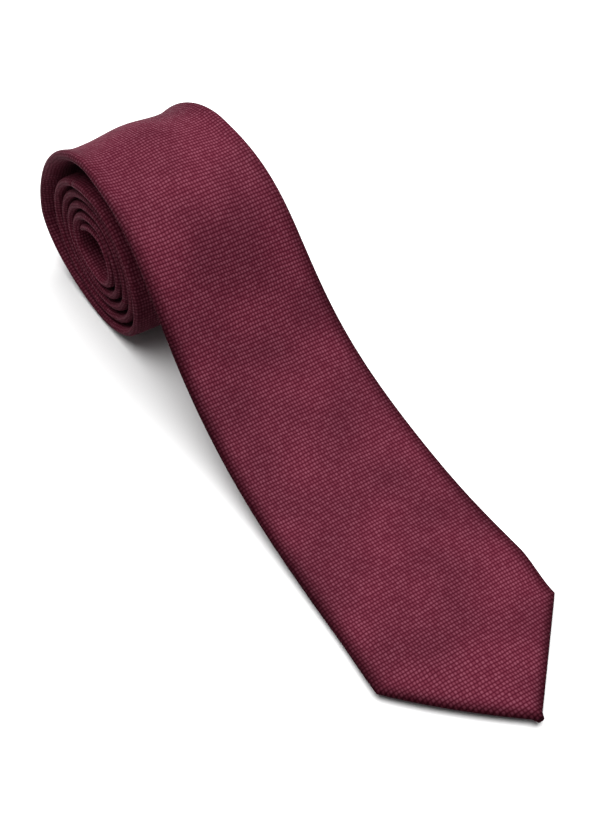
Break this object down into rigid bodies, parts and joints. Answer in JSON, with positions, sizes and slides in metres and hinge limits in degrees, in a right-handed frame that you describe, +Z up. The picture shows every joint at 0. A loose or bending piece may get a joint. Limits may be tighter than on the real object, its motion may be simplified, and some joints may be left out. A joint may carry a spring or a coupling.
{
  "type": "necktie",
  "caption": "Rolled necktie: a pointed woven blade lies flat, climbs over the roll and winds into it, folded round a soft interlining.",
  "frame": {"origin": "middle of the bounding box, on the surface that the tie lies on", "axes": "+Y runs along the tie from the point of the blade towards the roll, +Z is up, +X runs across the blade"},
  "size_m": [0.0796, 0.3006, 0.0784],
  "materials": {
    "burgundy_cloth": "matte woven",
    "keeper_cloth": "matte woven",
    "tipping_satin": "satin lining",
    "interlining_wool": "brushed wool",
    "silk_thread": "thread",
    "maker_label_satin": "satin",
    "care_label_satin": "satin"
  },
  "bodies": {
    "roll": {"front_panel": "burgundy_cloth", "neck_panel": "burgundy_cloth", "tail_panel": "burgundy_cloth", "front_interlining": "interlining_wool", "tail_interlining": "interlining_wool", "slip_stitch": "silk_thread", "tail_bar_tack": "silk_thread", "keeper_loop": "keeper_cloth", "maker_label": "maker_label_satin", "care_label": "care_label_satin"},
    "free_end": {"blade_end": "burgundy_cloth", "blade_end_interlining": "interlining_wool", "front_tipping": "tipping_satin", "front_bar_tack": "silk_thread"}
  },
  "joints": [
    {"name": "blade_lift", "type": "hinge", "parent": "roll", "child": "free_end", "pos_m": [0, -0.03966, 0.00774], "axis": [-1, 0, 0], "range_deg": [0, 75]}
  ]
}
